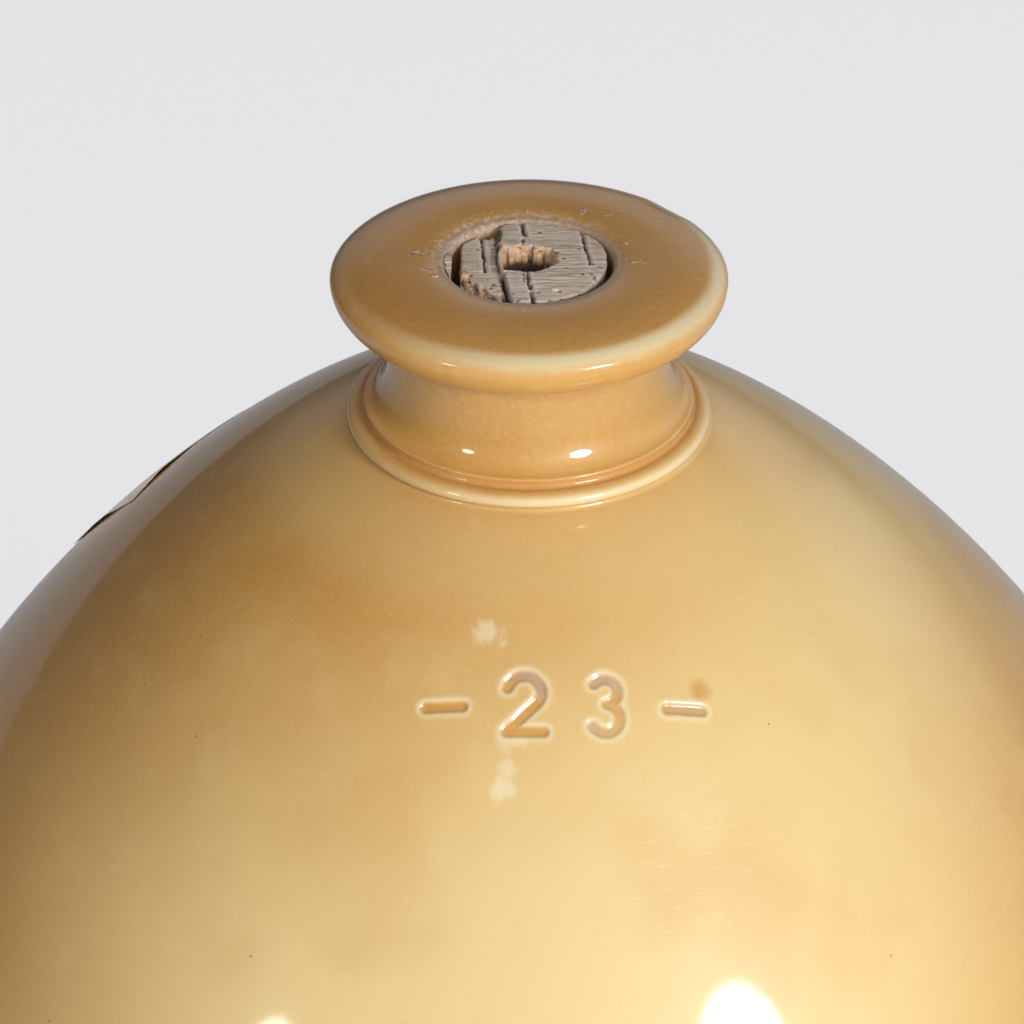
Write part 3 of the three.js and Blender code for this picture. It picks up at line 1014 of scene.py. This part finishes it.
# %% Label: a narrow lamp
LAMP_DISTANCE = 0.8
LAMP_CONE = math.radians(2.6)
lamp = bpy.data.lights.new("label_spot", "SPOT")
lamp.energy = 9.0
lamp.spot_size = LAMP_CONE
lamp.spot_blend = 0.4
lamp.shadow_soft_size = 0.01
spot_lamp = bpy.data.objects.new("label_spot", lamp)
bpy.context.collection.objects.link(spot_lamp)
aim_at = int(np.argmin(np.abs(inward - 22.0) + np.abs(a + 7.0)))
aim = Vector(laid[aim_at] * MM)
spot_lamp.location = aim + Vector(normal) * LAMP_DISTANCE
spot_lamp.rotation_euler = Vector(normal).to_track_quat("Z", "Y").to_euler()
spot_lamp.visible_glossy = False
print("label lamp at", tuple(round(c, 3) for c in spot_lamp.location))

# %% Label: paper
paper, wire, shader, place = material("label_paper")
fibre = place.noise(1.1, 4.0, 0.7)
stain = place.noise(0.07, 3.0)
colour = stain.fade(0.4, 0.7).mix(rgb(238, 235, 232), rgb(222, 214, 202))
colour = (fibre.fade(0.5, 0.75) * 0.25).mix(colour, rgb(176, 168, 156))
bump = bumped(wire, fibre * 0.05)
connect(wire, shader, {"Base Color": colour, "Normal": bump})
shader.inputs["Roughness"].default_value = 0.82
label.data.materials.append(paper)
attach(label, "jar")
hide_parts("paper_label")
print("paper on", label.name)

# %% [markdown]
# ## Crumbs
#
# Dry cork sheds. A few crumbs lie on the lip round the mouth. Each is an ico sphere that is squashed
# and roughened, laid on the glaze, and all of them are joined into one piece.

# %% Crumbs on the lip
CRUMBS = [  # x, y, half length, half width and turn
    (-22.6, 2.2, 1.5, 0.5, 15), (-21.2, 1.5, 0.8, 0.5, 70), (-24.0, 1.0, 0.6, 0.4, -30),
    (-19.9, -5.6, 1.7, 0.55, -20), (-21.4, -4.6, 1.0, 0.35, 35), (-18.7, -7.6, 0.9, 0.45, 10),
    (11.4, 20.4, 1.1, 0.55, 60), (10.9, 19.3, 0.7, 0.45, -10), (16.6, 18.4, 1.7, 0.3, 25),
    (21.4, -1.6, 1.2, 0.4, 20), (22.9, -2.4, 0.7, 0.4, -35), (24.0, -0.6, 0.5, 0.3, 0),
    (-1.2, -21.4, 0.7, 0.4, -50), (-0.4, 20.2, 0.9, 0.3, 80), (19.6, 6.4, 0.4, 0.3, 0),
]
crumbs = []
for number, (x, y, long, wide, turn) in enumerate(CRUMBS):
    bpy.ops.object.select_all(action="DESELECT")
    bpy.ops.mesh.primitive_ico_sphere_add(subdivisions=3, radius=MM)
    crumb_piece = bpy.context.object
    table = points(crumb_piece)
    table *= (1.0 + 0.35 * ripple(table + number * 7.0, (1.6, 1.6, 1.6)))[:, None]
    table *= (long, wide, wide * 0.7)
    cos, sin = math.cos(math.radians(turn)), math.sin(math.radians(turn))
    table[:, :2] = table[:, :2] @ np.array(((cos, sin), (-sin, cos)))
    _, ground, _, _ = jar.ray_cast(Vector((x * MM, y * MM, 0.6)), Vector((0, 0, -1)))
    table += np.array((x, y, ground.z / MM + wide * 0.4))
    table[:, 2] = np.minimum(table[:, 2], HEIGHT - 0.001)
    place_points(crumb_piece, table)
    crumbs.append(crumb_piece)
bpy.ops.object.select_all(action="DESELECT")
for crumb_piece in crumbs:
    crumb_piece.select_set(True)
bpy.context.view_layer.objects.active = crumbs[0]
bpy.ops.object.join()
shed = bpy.context.object
shed.name = "cork_crumbs_on_lip"
bpy.ops.object.shade_smooth()
for name, level in (("fresh", 1.0), ("pale", 0.15), ("side", 0.0), ("painted_shade", 0.0)):
    paint(shed, name, np.full(len(shed.data.vertices), level))
shed.data.materials.append(cork)
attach(shed, "jar")
print("crumbs", len(CRUMBS), "of", len(shed.data.vertices), "vertices")
